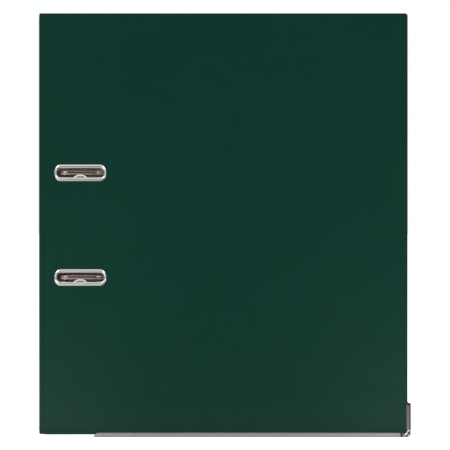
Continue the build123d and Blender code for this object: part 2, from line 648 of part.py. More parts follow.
def main():
    os.makedirs("parts", exist_ok=True)
    save(through_slots(cover_wrap(-1)), "front_wrap")
    save(through_slots(cover_block(-1, FILM, FILM, FILM + BOARD)), "front_board")
    save(through_slots(cover_block(-1, MARGIN, FILM + BOARD, PANEL)), "front_lining")
    save(rail(-1), "front_edge_rail")
    save(slot_eyelet(RING_W), "upper_slot_eyelet")
    save(slot_eyelet(-RING_W), "lower_slot_eyelet")
    save(slot_washer(RING_W), "upper_slot_washer")
    save(slot_washer(-RING_W), "lower_slot_washer")

    save(spine_wrap(), "spine_wrap")
    save(through_finger_hole(spine_block(FILM, 0, FILM, FILM + BOARD)), "spine_board")
    save(through_finger_hole(spine_block(MARGIN, 0, FILM + BOARD, PANEL)), "spine_lining")
    save(hinge_strip(-1), "front_hinge_strip")
    save(hinge_strip(1), "back_hinge_strip")
    save(finger_ring(), "finger_ring")
    save(finger_ring_washer(), "finger_ring_washer")
    save(label_pocket(), "label_pocket")
    save(label_card(), "label_card")

    save(through_rivets(cover_wrap(1)), "back_wrap")
    save(through_rivets(cover_block(1, FILM, FILM, FILM + BOARD)), "back_board")
    save(through_rivets(cover_block(1, MARGIN, FILM + BOARD, PANEL)), "back_lining")
    save(rail(1), "back_edge_rail")
    save(base_plate(), "base_plate")
    save(base_rivets(), "base_rivets")
    save(post(-RING_W), "lower_post")
    save(post(RING_W), "upper_post")
    save(lever_bracket(), "lever_bracket")
    save(bracket_rivets(), "bracket_rivets")
    save(lever_pin(), "lever_pin")
    save(opening_spring(), "opening_spring")

    save(arch_wire(), "arch_wire")
    save(pressure_plate(), "pressure_plate")
    save(lever_arm(), "lever_arm")
    save(lever_grip(), "lever_grip")
    save(roller_pin(), "roller_pin")
    save(pressure_roller(), "pressure_roller")
    save(compressor_bar(), "compressor_bar")
    save(latch_rivets(), "latch_rivets")
    save(compressor_latch(), "compressor_latch")


main()
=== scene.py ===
"""Looks of a lever arch file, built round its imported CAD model."""

import math

import bmesh
import bpy
from bpy.props import FloatProperty, FloatVectorProperty, PointerProperty
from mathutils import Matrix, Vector


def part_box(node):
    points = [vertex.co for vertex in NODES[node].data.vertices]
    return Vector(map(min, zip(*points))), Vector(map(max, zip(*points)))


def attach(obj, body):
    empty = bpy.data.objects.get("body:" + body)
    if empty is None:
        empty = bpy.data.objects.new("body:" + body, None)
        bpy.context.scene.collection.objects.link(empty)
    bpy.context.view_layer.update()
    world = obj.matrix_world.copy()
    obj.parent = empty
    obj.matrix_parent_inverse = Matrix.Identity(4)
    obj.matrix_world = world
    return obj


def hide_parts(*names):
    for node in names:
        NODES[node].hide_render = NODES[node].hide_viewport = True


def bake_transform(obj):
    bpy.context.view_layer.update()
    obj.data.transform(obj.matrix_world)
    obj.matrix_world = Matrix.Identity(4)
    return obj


bl_info = {
    "name": "Lever Arch File",
    "version": (1, 0, 0),
    "blender": (4, 5, 0),
    "location": "3D View > Sidebar > Lever Arch File",
    "description": "Covers, rails, slots and ring mechanism of a lever arch file",
    "category": "Object",
}

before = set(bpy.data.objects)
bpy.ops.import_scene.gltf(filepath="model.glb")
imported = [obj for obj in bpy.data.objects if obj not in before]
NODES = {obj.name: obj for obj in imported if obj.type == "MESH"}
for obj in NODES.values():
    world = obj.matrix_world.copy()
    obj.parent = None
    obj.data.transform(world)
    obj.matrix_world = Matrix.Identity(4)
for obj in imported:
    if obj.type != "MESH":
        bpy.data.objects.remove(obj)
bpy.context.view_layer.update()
MM = 0.001

# Places read from the frame, in metres
SPINE_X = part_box("spine_wrap")[0].x
FREE_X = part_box("front_wrap")[1].x
COVER_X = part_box("front_wrap")[0].x
FRONT_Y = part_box("front_wrap")[0].y
BACK_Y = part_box("back_wrap")[1].y
LOW_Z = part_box("front_wrap")[0].z
TOP_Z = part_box("front_wrap")[1].z
MID_Z = 160 * MM            # about half the height
SPINE_END_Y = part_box("spine_wrap")[0].y

# Film round the two long folds, in metres
FOLD_ROUND = 1.5 * MM       # outer radius of a fold
FILM_THICK = 0.6 * MM       # film with the paper behind it
GROOVE_AT = 4.45 * MM       # from the spine to the middle of the pressed groove
GROOVE_HALF = 1.25 * MM     # half the groove's width

# Rolled rails, in metres
RAIL_ROUND = 3.2 * MM       # outer radius of the turned corner
RAIL_BEND = 1.0 * MM        # radius between a rail's edge and its flanges
RAIL_SHEET = 0.42 * MM      # thickness of the steel
NOTCH_BACK = 7.8 * MM       # from the free edge back to the notch
LEG_CUT = 1.6 * MM          # how far the leg's end slopes down to the outside
FLANGE_STEPS = 20           # faces across a flange
FLANGE_Z = LOW_Z + 1.35 * MM
FLANGE_X = FREE_X - 0.95 * MM

# Creases of a rail's pinched corner, in millimetres from the flange's inner corner: start, end, width
LONG_FOLD = ((-1.0, -1.7), (1.3, 1.5), 0.7)
CROSS_FOLD = ((0.5, -0.6), (1.9, -2.3), 0.55)
DENT = ((1.2, -0.4), (1.9, -0.2), 0.7)

# Rolled linings, in millimetres
SLOT_RIM = 2.75             # width of a slot's rim along its straight sides
SLOT_RIM_END = 1.7          # and round its two ends
RING_RIM = 3.2              # width of the finger ring's rim
LINING_FACE = 0.55          # longest face along a slot lining

# Where the camera looks: to the right of the spine, and above the floor
AIM_RIGHT = 0.1423
AIM_UP = 0.1622

# The shader groups and the finishes, each by a short name
GROUPS = {}
FINISH = {}


# ---------------------------------------------------------------- mesh work


def piece(name, verts, faces, material, angle=35.0):
    """A mesh object with smooth faces and creases kept sharp."""
    mesh = bpy.data.meshes.new(name)
    mesh.from_pydata([tuple(v) for v in verts], [], faces)
    work = bmesh.new()
    work.from_mesh(mesh)
    bmesh.ops.remove_doubles(work, verts=work.verts, dist=1e-7)
    bmesh.ops.recalc_face_normals(work, faces=work.faces)
    work.to_mesh(mesh)
    work.free()
    mesh.shade_smooth()
    mesh.set_sharp_from_angle(angle=math.radians(angle))
    mesh.materials.append(material)
    thing = bpy.data.objects.new(name, mesh)
    bpy.context.scene.collection.objects.link(thing)
    return thing


def skin(rings, closed_ring=True, closed_run=False, caps=True):
    """Vertices and faces of a surface through rings of equally many points."""
    count = len(rings[0])
    verts = [p for ring in rings for p in ring]
    faces = []
    runs = len(rings) if closed_run else len(rings) - 1
    steps = count if closed_ring else count - 1
    for i in range(runs):
        a = i * count
        b = ((i + 1) % len(rings)) * count
        for j in range(steps):
            k = (j + 1) % count
            faces.append((a + j, a + k, b + k, b + j))
    if caps and closed_ring and not closed_run:
        faces.append(tuple(range(count - 1, -1, -1)))
        last = (len(rings) - 1) * count
        faces.append(tuple(range(last, last + count)))
    return verts, faces


def join_parts(parts):
    """One set of vertices and faces from several."""
    verts, faces = [], []
    for v, f in parts:
        base = len(verts)
        verts += v
        faces += [tuple(i + base for i in face) for face in f]
    return verts, faces


def thicken(thing, thickness):
    """Give a sheet its thickness, inward from the side that its normals point to."""
    solid = thing.modifiers.new("thickness", "SOLIDIFY")
    solid.thickness = thickness
    solid.offset = -1.0
    solid.use_even_offset = True
    solid.thickness_clamp = 1.0
    apply_modifiers(thing)


def stain(thing, name, amount):
    """Store a value from 0 to 1 on each vertex, for a material to read."""
    layer = thing.data.attributes.new(name, "FLOAT", "POINT")
    for vertex, value in zip(thing.data.vertices, layer.data):
        value.value = amount(vertex)


def apply_modifiers(thing):
    """Turn a piece's modifiers into its own mesh."""
    graph = bpy.context.evaluated_depsgraph_get()
    graph.update()
    mesh = bpy.data.meshes.new_from_object(thing.evaluated_get(graph))
    thing.modifiers.clear()
    thing.data = mesh


def loop_path(half_x, half_z, radius, pitch):
    """A rounded rectangle as points (x, z, outward x, outward z), no further apart than a pitch."""
    points = []
    corners = ((1, 1, 0), (-1, 1, 90), (-1, -1, 180), (1, -1, 270))
    for index, (side_x, side_z, start) in enumerate(corners):
        middle = (side_x * (half_x - radius), side_z * (half_z - radius))
        steps = max(6, math.ceil(radius * math.pi / 2 / pitch))
        for i in range(steps + 1):
            a = math.radians(start + 90 * i / steps)
            c, n = math.cos(a), math.sin(a)
            points.append((middle[0] + radius * c, middle[1] + radius * n, c, n))
        next_x, next_z, _ = corners[(index + 1) % 4]
        a = math.radians(start + 90)
        c, n = math.cos(a), math.sin(a)
        end = (next_x * (half_x - radius) + radius * c, next_z * (half_z - radius) + radius * n)
        first = points[-1]
        run = math.hypot(end[0] - first[0], end[1] - first[1])
        count = math.ceil(run / pitch)
        for i in range(1, count):
            t = i / count
            x, z = (a + (b - a) * t for a, b in zip(first, end))
            points.append((x, z, c, n))
    return points


def tube_rings(points, radius, sides=12):
    """Rings round a line of points, turned as little as possible from one to the next."""
    line = [Vector(p) for p in points]
    rings = []
    normal = None
    for i, here in enumerate(line):
        ahead = (line[min(i + 1, len(line) - 1)] - line[max(i - 1, 0)]).normalized()
        if normal is None:
            normal = ahead.orthogonal().normalized()
        normal = (normal - ahead * normal.dot(ahead)).normalized()
        other = ahead.cross(normal)
        ring = []
        for k in range(sides):
            a = 2 * math.pi * k / sides
            around = normal * (radius * math.cos(a)), other * (radius * math.sin(a))
            ring.append(tuple(here + around[0] + around[1]))
        rings.append(ring)
    return rings


def pill(width, height, corner, steps=3):
    """A closed section with rounded corners, centred on zero."""
    points = []
    for side_x, side_y, start in ((1, 1, 0), (-1, 1, 90), (-1, -1, 180), (1, -1, 270)):
        middle = (side_x * (width / 2 - corner), side_y * (height / 2 - corner))
        points += arc(middle, corner, start, start + 90, steps)
    return points


def smooth_step(t):
    """A soft ramp from 0 to 1."""
    t = min(max(t, 0.0), 1.0)
    return t * t * (3 - 2 * t)


def arc(centre, radius, start, end, steps):
    """Points of an arc in a plane, angles in degrees."""
    points = []
    for i in range(steps + 1):
        a = math.radians(start + (end - start) * i / steps)
        points.append((centre[0] + radius * math.cos(a), centre[1] + radius * math.sin(a)))
    return points


# ---------------------------------------------------------------- node groups


def put(tree, socket, value):
    """Give a socket a number, a colour or the value of another socket."""
    if isinstance(value, (int, float)):
        socket.default_value = value
    elif isinstance(value, tuple):
        socket.default_value = (*value, 1.0)
    else:
        tree.links.new(value, socket)


def group(name, inputs, outputs):
    """An empty shader group with its sockets, all of them plain values."""
    tree = bpy.data.node_groups.new(name, "ShaderNodeTree")
    for label, value in inputs.items():
        socket = tree.interface.new_socket(label, in_out="INPUT", socket_type="NodeSocketFloat")
        socket.default_value = value
    for label in outputs:
        tree.interface.new_socket(label, in_out="OUTPUT", socket_type="NodeSocketFloat")
    return tree, tree.nodes.new("NodeGroupInput"), tree.nodes.new("NodeGroupOutput")


def noise(tree, vector, scale, detail=3.0, rough=0.5):
    """A noise texture on given coordinates. scale is a number or a socket."""
    node = tree.nodes.new("ShaderNodeTexNoise")
    tree.links.new(vector, node.inputs["Vector"])
    put(tree, node.inputs["Scale"], scale)
    node.inputs["Detail"].default_value = detail
    node.inputs["Roughness"].default_value = rough
    return node.outputs["Fac"]


def remap(tree, value, low, high, to_low=0.0, to_high=1.0):
    """A value stretched from one range to another, clamped."""
    node = tree.nodes.new("ShaderNodeMapRange")
    tree.links.new(value, node.inputs["Value"])
    for label, number in (("From Min", low), ("From Max", high), ("To Min", to_low), ("To Max", to_high)):
        put(tree, node.inputs[label], number)
    return node.outputs["Result"]


def maths(tree, operation, *values):
    """One step of arithmetic on sockets or numbers."""
    node = tree.nodes.new("ShaderNodeMath")
    node.operation = operation
    for index, value in enumerate(values):
        put(tree, node.inputs[index], value)
    return node.outputs[0]


def along_axes(tree, kind="Object"):
    """The three parts of a coordinate, as outputs X, Y and Z."""
    coords = tree.nodes.new("ShaderNodeTexCoord")
    split = tree.nodes.new("ShaderNodeSeparateXYZ")
    tree.links.new(coords.outputs[kind], split.inputs["Vector"])
    return split.outputs


def stretched(tree, scale):
    """Object coordinates stretched by a scale on each axis."""
    coords = tree.nodes.new("ShaderNodeTexCoord")
    mapping = tree.nodes.new("ShaderNodeMapping")
    mapping.inputs["Scale"].default_value = scale
    tree.links.new(coords.outputs["Object"], mapping.inputs["Vector"])
    return mapping.outputs["Vector"]


def grain_group():
    """Fine pressed grain: cell size in millimetres in, height and shade out."""
    tree, inside, outside = group("pressed_grain", {"Cell": 0.5}, ("Height", "Shade"))
    vector = stretched(tree, (1, 1, 1))
    frequency = maths(tree, "DIVIDE", 1000.0, inside.outputs["Cell"])
    cells = tree.nodes.new("ShaderNodeTexVoronoi")
    cells.feature = "SMOOTH_F1"
    cells.inputs["Smoothness"].default_value = 0.6
    tree.links.new(vector, cells.inputs["Vector"])
    tree.links.new(frequency, cells.inputs["Scale"])
    fine = noise(tree, vector, maths(tree, "MULTIPLY", frequency, 1.7), 4.0, 0.6)
    height = maths(tree, "ADD", maths(tree, "MULTIPLY", cells.outputs["Distance"], 0.7), fine)
    shade = noise(tree, vector, maths(tree, "MULTIPLY", frequency, 0.05), 4.0, 0.6)
    tree.links.new(height, outside.inputs["Height"])
    tree.links.new(shade, outside.inputs["Shade"])
    return tree


def handling_group():
    """Marks of handling: broad smears and small specks, both as masks."""
    tree, inside, outside = group("handling_marks", {"Smear": 30.0, "Speck": 900.0}, ("Smears", "Specks"))
    vector = stretched(tree, (1, 1, 1))
    smears = noise(tree, vector, inside.outputs["Smear"], 5.0, 0.62)
    specks = noise(tree, vector, inside.outputs["Speck"], 2.0, 0.5)
    tree.links.new(remap(tree, smears, 0.38, 0.68), outside.inputs["Smears"])
    tree.links.new(remap(tree, specks, 0.66, 0.74), outside.inputs["Specks"])
    return tree


def drawn_group(name, scale):
    """Fine lines left by drawing or rolling, along the short axis of scale."""
    tree, inside, outside = group(name, {"Strength": 1.0}, ("Height", "Streak"))
    vector = stretched(tree, scale)
    lines = noise(tree, vector, 1.0, 4.0, 0.65)
    tree.links.new(maths(tree, "MULTIPLY", lines, inside.outputs["Strength"]), outside.inputs["Height"])
    tree.links.new(remap(tree, lines, 0.35, 0.65), outside.inputs["Streak"])
    return tree


def edge_group():
    """Where a wrapped cover turns over its edge, from the surface's own direction: the mask for painted
    shade on edges and bends.
    """
    tree, inside, outside = group("wrapped_edge", {"Start": 0.25, "Full": 0.85}, ("Edge",))
    across = maths(tree, "ABSOLUTE", along_axes(tree, "Normal")["Y"])
    squared = maths(tree, "MULTIPLY", across, across)
    rest = maths(tree, "SQRT", maths(tree, "SUBTRACT", 1.0001, squared))
    turned = maths(tree, "MULTIPLY", maths(tree, "MULTIPLY", across, rest), 2.0)
    edge = remap(tree, turned, inside.outputs["Start"], inside.outputs["Full"])
    tree.links.new(edge, outside.inputs["Edge"])
    return tree


# ---------------------------------------------------------------- materials


def new_material(name, colour, metallic=0.0, roughness=0.5):
    """A material with its shader ready: returns material, tree and shader."""
    material = bpy.data.materials.new(name)
    material.use_nodes = True
    shader = material.node_tree.nodes["Principled BSDF"]
    shader.inputs["Base Color"].default_value = (*colour, 1.0)
    shader.inputs["Metallic"].default_value = metallic
    shader.inputs["Roughness"].default_value = roughness
    return material, material.node_tree, shader


def place(tree, source, **values):
    """A group placed in a material with its own values."""
    node = tree.nodes.new("ShaderNodeGroup")
    node.node_tree = source
    for label, value in values.items():
        node.inputs[label].default_value = value
    return node


def mix_colour(tree, mask, first, second):
    """Two colours mixed by a mask. A colour is a triple or a socket."""
    node = tree.nodes.new("ShaderNodeMix")
    node.data_type = "RGBA"
    tree.links.new(mask, node.inputs[0])
    put(tree, node.inputs[6], first)
    put(tree, node.inputs[7], second)
    return node.outputs[2]


def dress(tree, shader, colour=None, roughness=None):
    """Link the colour and the roughness that change over a surface."""
    if colour is not None:
        tree.links.new(colour, shader.inputs["Base Color"])
    if roughness is not None:
        tree.links.new(roughness, shader.inputs["Roughness"])


def bump(tree, shader, height, distance, strength):
    """Fine relief, its depth in metres."""
    node = tree.nodes.new("ShaderNodeBump")
    node.inputs["Strength"].default_value = strength
    node.inputs["Distance"].default_value = distance
    tree.links.new(height, node.inputs["Height"])
    tree.links.new(node.outputs["Normal"], shader.inputs["Normal"])


def toned(colour, factor):
    """A colour made lighter or darker."""
    return tuple(min(c * factor, 1.0) for c in colour)


def covering_film(settings):
    """Dark green film with a fine pressed grain, and painted shade where it turns an edge."""
    colour = tuple(settings.film_colour)
    material, tree, shader = new_material("covering_film", colour, 0.0, 0.3)
    shader.inputs["Specular IOR Level"].default_value = 0.15
    grain = place(tree, GROUPS["grain"], Cell=0.55)
    marks = place(tree, GROUPS["handling"], Smear=9.0, Speck=420.0)
    edge = place(tree, GROUPS["edge"])
    mottled = mix_colour(tree, grain.outputs["Shade"], toned(colour, 0.9), toned(colour, 1.12))
    worn = mix_colour(tree, marks.outputs["Specks"], mottled, toned(colour, 1.25))
    # Painted shade: the film is darkened to half where its surface turns over an edge.
    turned = mix_colour(tree, edge.outputs["Edge"], worn, toned(colour, 0.5))
    gloss = remap(tree, marks.outputs["Smears"], 0.0, 1.0, 0.28, 0.34)
    dress(tree, shader, turned, gloss)
    bump(tree, shader, grain.outputs["Height"], 0.00006, 0.5)
    return material


def lining_paper(settings):
    """Pale grey lining paper with short fibres."""
    colour = tuple(settings.lining_colour)
    material, tree, shader = new_material("lining_paper", colour, 0.0, 0.82)
    grain = place(tree, GROUPS["grain"], Cell=0.9)
    fibres = place(tree, GROUPS["fibres"])
    soft = mix_colour(tree, grain.outputs["Shade"], toned(colour, 0.94), toned(colour, 1.05))
    flecked = mix_colour(tree, fibres.outputs["Streak"], soft, toned(colour, 0.9))
    dress(tree, shader, flecked)
    bump(tree, shader, grain.outputs["Height"], 0.00005, 0.4)
    return material


def grey_board():
    """Solid grey board inside the covers."""
    material, tree, shader = new_material("grey_board", (0.30, 0.28, 0.25), 0.0, 0.9)
    grain = place(tree, GROUPS["grain"], Cell=0.7)
    mottled = mix_colour(tree, grain.outputs["Shade"], (0.26, 0.24, 0.21), (0.34, 0.32, 0.29))
    dress(tree, shader, mottled)
    bump(tree, shader, grain.outputs["Height"], 0.0001, 0.6)
    return material


def plated_metal(name, colour, roughness, lines, smear=70.0):
    """Plated steel with drawn lines, smears in the plating and a few specks."""
    material, tree, shader = new_material(name, colour, 1.0, roughness)
    marks = place(tree, GROUPS["handling"], Smear=smear, Speck=1600.0)
    drawn = place(tree, GROUPS[lines])
    tinted = mix_colour(tree, marks.outputs["Smears"], toned(colour, 0.9), toned(colour, 1.06))
    streaked = mix_colour(tree, drawn.outputs["Streak"], toned(colour, 0.93), tinted)
    speckled = mix_colour(tree, marks.outputs["Specks"], streaked, toned(colour, 0.6))
    gloss = remap(tree, marks.outputs["Smears"], 0.0, 1.0, roughness * 0.8, roughness * 1.35)
    dress(tree, shader, speckled, gloss)
    bump(tree, shader, drawn.outputs["Height"], 0.00002, 0.5)
    return material


def steel_with_painted_light(name, colour, roughness, smear, shade_tone):
    """Plated steel with painted light: a darker brown painted shade round its bends, painted shade where
    a stored mask says, and a painted highlight where another stored mask says.
    """
    material = plated_metal(name, colour, roughness, "lines_x", smear=smear)
    tree = material.node_tree
    shader = tree.nodes["Principled BSDF"]
    bright = shader.inputs["Base Color"].links[0].from_socket
    bend = place(tree, GROUPS["edge"], Start=0.7, Full=1.0)
    painted_shade, wear_and_painted_highlight = (tree.nodes.new("ShaderNodeAttribute") for _ in range(2))
    painted_shade.attribute_name = "painted_shade"
    wear_and_painted_highlight.attribute_name = "wear_and_painted_highlight"
    # Painted shade: bends of the steel, found from the surface's direction, are mixed towards a darker
    # brown.
    bend_shade_colour = tuple(c * f for c, f in zip(colour, (0.8, 0.72, 0.7)))
    bend_shaded = mix_colour(tree, bend.outputs["Edge"], bright, bend_shade_colour)
    # Painted shade: the colour is darker where the stored shade mask is high.
    with_painted_shade = mix_colour(tree, painted_shade.outputs["Fac"], bend_shaded, toned(colour, shade_tone))
    # Painted highlight: the colour goes near white where the stored highlight mask is high.
    with_painted_highlight = mix_colour(tree, wear_and_painted_highlight.outputs["Fac"], with_painted_shade, (0.9, 0.89, 0.87))
    dress(tree, shader, with_painted_highlight)
    return material


def grip_plastic():
    """Black moulded plastic with a fine spark texture."""
    material, tree, shader = new_material("grip_plastic", (0.014, 0.014, 0.015), 0.0, 0.4)
    grain = place(tree, GROUPS["grain"], Cell=0.35)
    marks = place(tree, GROUPS["handling"], Smear=120.0, Speck=1500.0)
    handled = mix_colour(tree, marks.outputs["Smears"], (0.011, 0.011, 0.012), (0.022, 0.022, 0.024))
    gloss = remap(tree, marks.outputs["Smears"], 0.0, 1.0, 0.34, 0.48)
    dress(tree, shader, handled, gloss)
    bump(tree, shader, grain.outputs["Height"], 0.00005, 0.6)
    return material


def roller_nylon():
    """White nylon, rubbed grey where it runs on the plate."""
    material, tree, shader = new_material("roller_nylon", (0.72, 0.71, 0.67), 0.0, 0.38)
    shader.inputs["Subsurface Weight"].default_value = 0.15
    shader.inputs["Subsurface Scale"].default_value = 0.002
    marks = place(tree, GROUPS["handling"], Smear=260.0, Speck=2000.0)
    wear_and_painted_highlight = mix_colour(tree, marks.outputs["Smears"], (0.74, 0.73, 0.69), (0.55, 0.54, 0.51))
    dress(tree, shader, wear_and_painted_highlight)
    return material


def clear_film():
    """Clear label pocket film."""
    material, tree, shader = new_material("clear_film", (0.96, 0.98, 0.97), 0.0, 0.12)
    shader.inputs["IOR"].default_value = 1.46
    shader.inputs["Transmission Weight"].default_value = 1.0
    shader.inputs["Alpha"].default_value = 0.16
    marks = place(tree, GROUPS["handling"], Smear=25.0, Speck=800.0)
    dress(tree, shader, roughness=remap(tree, marks.outputs["Smears"], 0.0, 1.0, 0.07, 0.2))
    bump(tree, shader, marks.outputs["Smears"], 0.00002, 0.1)
    return material


def label_paper(ruled_pitch, half_line, low_z, high_z):
    """White card with faint ruled lines across its middle, between two heights."""
    material, tree, shader = new_material("label_paper", (0.8, 0.8, 0.77), 0.0, 0.78)
    grain = place(tree, GROUPS["grain"], Cell=0.8)
    place_on = along_axes(tree)
    height = place_on["Z"]
    phase = maths(tree, "FRACT", maths(tree, "DIVIDE", height, ruled_pitch))
    from_line = maths(tree, "ABSOLUTE", maths(tree, "SUBTRACT", phase, 0.5))
    line = remap(tree, from_line, 0.012, 0.022, 1.0, 0.0)
    above = maths(tree, "GREATER_THAN", height, low_z)
    below = maths(tree, "LESS_THAN", height, high_z)
    within = maths(tree, "LESS_THAN", maths(tree, "ABSOLUTE", place_on["Y"]), half_line)
    ruled = maths(tree, "MULTIPLY", line, above)
    mask = maths(tree, "MULTIPLY", ruled, maths(tree, "MULTIPLY", below, within))
    paper = mix_colour(tree, grain.outputs["Shade"], (0.77, 0.77, 0.74), (0.84, 0.84, 0.81))
    dress(tree, shader, mix_colour(tree, mask, paper, (0.25, 0.28, 0.31)))
    bump(tree, shader, grain.outputs["Height"], 0.00003, 0.4)
    return material


def camera_only(tree, seen, hidden):
    """A value that differs between what is seen directly and what lights and reflections meet."""
    path = tree.nodes.new("ShaderNodeLightPath")
    node = tree.nodes.new("ShaderNodeMix")
    tree.links.new(path.outputs["Is Camera Ray"], node.inputs[0])
    put(tree, node.inputs[2], hidden)
    put(tree, node.inputs[3], seen)
    return node.outputs[0]


def floor_material(settings):
    """Pale matt floor, glowing white as it is seen; in reflections and bounced light a painted glow,
    brightest in a band round the foot of the object.
    """
    colour = tuple(settings.floor_colour)
    material, tree, shader = new_material("pale_floor", colour, 0.0, 0.9)
    shader.inputs["Specular IOR Level"].default_value = 0.0
    place_on = along_axes(tree)
    beyond = []
    for axis, half in (("X", FREE_X), ("Y", BACK_Y)):
        outside = maths(tree, "SUBTRACT", maths(tree, "ABSOLUTE", place_on[axis]), half)
        beyond.append(maths(tree, "MAXIMUM", outside, 0.0))
    squares = [maths(tree, "MULTIPLY", value, value) for value in beyond]
    away = maths(tree, "SQRT", maths(tree, "ADD", squares[0], squares[1]))
    sideways = remap(tree, maths(tree, "ABSOLUTE", place_on["X"]), 0.06, 0.32)
    reach = maths(tree, "ADD", settings.band_reach, maths(tree, "MULTIPLY", sideways, 0.5))
    fading = maths(tree, "POWER", 0.368, maths(tree, "DIVIDE", away, reach))
    foot = remap(tree, away, 0.0, 0.055, 0.2, 1.0)
    widened = maths(tree, "ADD", 0.75, maths(tree, "MULTIPLY", sideways, 0.6))
    glow = maths(tree, "MULTIPLY", maths(tree, "MULTIPLY", fading, widened), foot)
    grey = remap(tree, glow, 0.0, 1.0, settings.floor_dim, settings.floor_band)
    shade = camera_only(tree, 1.0, 0.25)
    dress(tree, shader, mix_colour(tree, shade, (0.0, 0.0, 0.0), colour))
    shader.inputs["Emission Color"].default_value = (1.0, 1.0, 1.0, 1.0)
    # Painted glow: the floor emits light, evenly where it is seen and in a band round the foot for
    # reflections and bounced light.
    tree.links.new(camera_only(tree, settings.floor_glow, grey), shader.inputs["Emission Strength"])
    return material


def build_finishes():
    """Every group and material, once."""
    case = bpy.context.scene.file_case
    metal = bpy.context.scene.file_metal
    GROUPS["grain"] = grain_group()
    GROUPS["handling"] = handling_group()
    GROUPS["edge"] = edge_group()
    GROUPS["lines_x"] = drawn_group("drawn_along_length", (60, 5000, 5000))
    GROUPS["lines_z"] = drawn_group("drawn_along_height", (5000, 5000, 60))
    GROUPS["fibres"] = drawn_group("paper_fibres", (900, 900, 160))
    FINISH["film"] = covering_film(case)
    FINISH["paper"] = lining_paper(case)
    FINISH["board"] = grey_board()
    rail, eyelet = tuple(metal.rail_colour), tuple(metal.eyelet_colour)
    sheet, wire = tuple(metal.sheet_colour), tuple(metal.wire_shaded_colour)
    # Rails and linings carry painted shade and a painted highlight from masks stored on their vertices.
    FINISH["rail"] = steel_with_painted_light("rail_nickel", rail, roughness=0.28, smear=6.0, shade_tone=0.08)
    FINISH["eyelet"] = steel_with_painted_light("eyelet_nickel", eyelet, roughness=0.16, smear=70.0, shade_tone=0.1)
    FINISH["sheet"] = plated_metal("plated_sheet", sheet, 0.34, "lines_z")
    FINISH["wire"] = plated_metal("ring_nickel", wire, 0.17, "lines_z")
    FINISH["rivet"] = plated_metal("rivet_nickel", toned(sheet, 1.08), 0.28, "lines_x")
    FINISH["spring"] = plated_metal("spring_wire", toned(sheet, 0.78), 0.3, "lines_x")
    FINISH["grip"] = grip_plastic()
    FINISH["roller"] = roller_nylon()
    FINISH["clear"] = clear_film()
    low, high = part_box("label_card")
    FINISH["label"] = label_paper(8.5 * MM, 19 * MM, low.z + 30 * MM, high.z - 30 * MM)


def finish_nodes(finish, *names):
    """Give CAD nodes a finish in all their material slots."""
    for name in names:
        slots = NODES[name].data.materials
        if len(slots) == 0:
            slots.append(FINISH[finish])
        for index in range(len(slots)):
            slots[index] = FINISH[finish]


# ---------------------------------------------------------------- settings


class CaseSettings(bpy.types.PropertyGroup):
    """Sizes and colours of the covered case."""

    film_colour: FloatVectorProperty(
        name="Film colour", description="Colour of the covering film", subtype="COLOR",
        default=(0.0020, 0.0308, 0.0204), min=0.0, max=1.0,
    )
    lining_colour: FloatVectorProperty(
        name="Lining colour", description="Colour of the paper lining", subtype="COLOR",
        default=(0.50, 0.51, 0.505), min=0.0, max=1.0,
    )
    groove_depth: FloatProperty(
        name="Groove depth", description="Depth of the pressed fold beside the front board",
        default=0.00022, min=0.0, max=0.0005, unit="LENGTH",
    )


class MetalSettings(bpy.types.PropertyGroup):
    """Colours of the metal parts."""

    rail_colour: FloatVectorProperty(
        name="Rail colour", description="Colour of the steel rails", subtype="COLOR",
        default=(0.44, 0.40, 0.378), min=0.0, max=1.0,
    )
    eyelet_colour: FloatVectorProperty(
        name="Eyelet colour", description="Colour of the slot and finger hole linings", subtype="COLOR",
        default=(0.93, 0.92, 0.905), min=0.0, max=1.0,
    )
    sheet_colour: FloatVectorProperty(
        name="Sheet colour", description="Colour of the plated sheet parts", subtype="COLOR",
        default=(0.56, 0.56, 0.545), min=0.0, max=1.0,
    )
    # A warm nickel darkened and browned: partly the wire's own tone, partly painted shade and reflection
    # for the dark reflections it shows through the slots.
    wire_shaded_colour: FloatVectorProperty(
        name="Wire colour", description="Colour of the arches and posts", subtype="COLOR",
        default=(0.26, 0.205, 0.185), min=0.0, max=1.0,
    )
    notch_width: FloatProperty(
        name="Notch width", description="Width of the notch beside a rail's corner",
        default=0.0010, min=0.0003, max=0.002, unit="LENGTH",
    )
    pleat_depth: FloatProperty(
        name="Pleat depth", description="Depth of the pleats round a rail's corner",
        default=0.0005, min=0.0, max=0.0008, unit="LENGTH",
    )


class StageSettings(bpy.types.PropertyGroup):
    """Camera, floor and light."""

    camera_distance: FloatProperty(
        name="Camera distance", description="From the front cover to the camera",
        default=1.45, min=0.3, unit="LENGTH",
    )
    frame_width: FloatProperty(
        name="Frame width", description="Width seen at the front cover",
        default=0.3439, min=0.1, unit="LENGTH",
    )
    floor_colour: FloatVectorProperty(
        name="Floor colour", description="Colour of the floor", subtype="COLOR",
        default=(0.93, 0.93, 0.93), min=0.0, max=1.0,
    )
    floor_glow: FloatProperty(
        name="Floor glow", description="Lift of the floor as it is seen", default=0.8, min=0.0,
    )
    floor_dim: FloatProperty(
        name="Floor dim", description="Light of the far floor in reflections", default=0.1, min=0.0,
    )
    floor_band: FloatProperty(
        name="Floor band", description="Light of the near floor in reflections", default=2.3, min=0.0,
    )
    band_reach: FloatProperty(
        name="Band reach", description="How far the near light reaches over the floor",
        default=0.09, min=0.01, unit="LENGTH",
    )
    front_dim: FloatProperty(
        name="Front dim", description="Light of the room in front", default=0.1, min=0.0,
    )
    room_bright: FloatProperty(
        name="Room bright", description="Light of the room elsewhere", default=0.9, min=0.0,
    )
    key_power: FloatProperty(
        name="Key light", description="Power of each of the two high lights", default=13.0, min=0.0,
    )


# ---------------------------------------------------------------- operators


